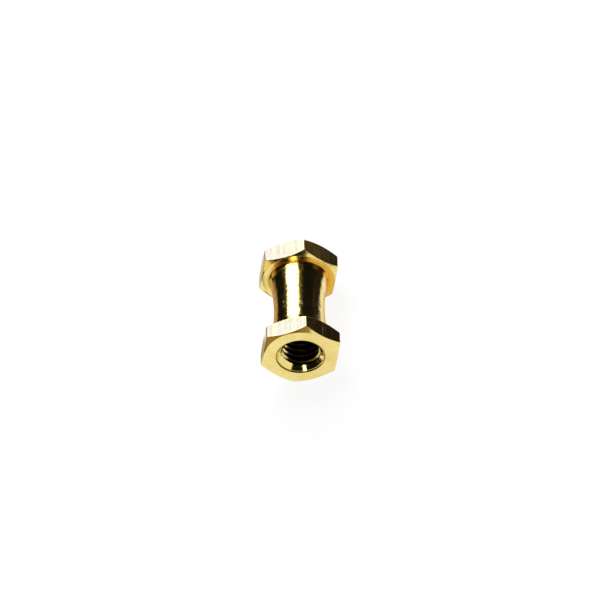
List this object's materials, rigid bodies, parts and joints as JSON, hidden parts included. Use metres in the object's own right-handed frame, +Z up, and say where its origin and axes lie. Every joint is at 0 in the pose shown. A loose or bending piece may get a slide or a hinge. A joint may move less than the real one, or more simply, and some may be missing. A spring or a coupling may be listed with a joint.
{
  "type": "thread adapter",
  "caption": "Short brass stud that joins two screws: a chamfered hexagon head with a tapped hole at each end, and a waist turned between the heads.",
  "frame": {"origin": "on the axis of the bores, halfway between the two end faces", "axes": "Y along the bores, with the 3/8 inch mouth towards -Y and the 1/4 inch mouth towards +Y; +Z up, square to the flats that the stud rests on; X across the corners"},
  "size_m": [0.0184, 0.0264, 0.016],
  "materials": {
    "turned_brass": "bare turned brass, with the lathe's fine rings on the ends, shoulders and waist and the drawn bar's own skin on the flats"
  },
  "bodies": {
    "root": {"adapter_body": "turned_brass"}
  },
  "joints": []
}
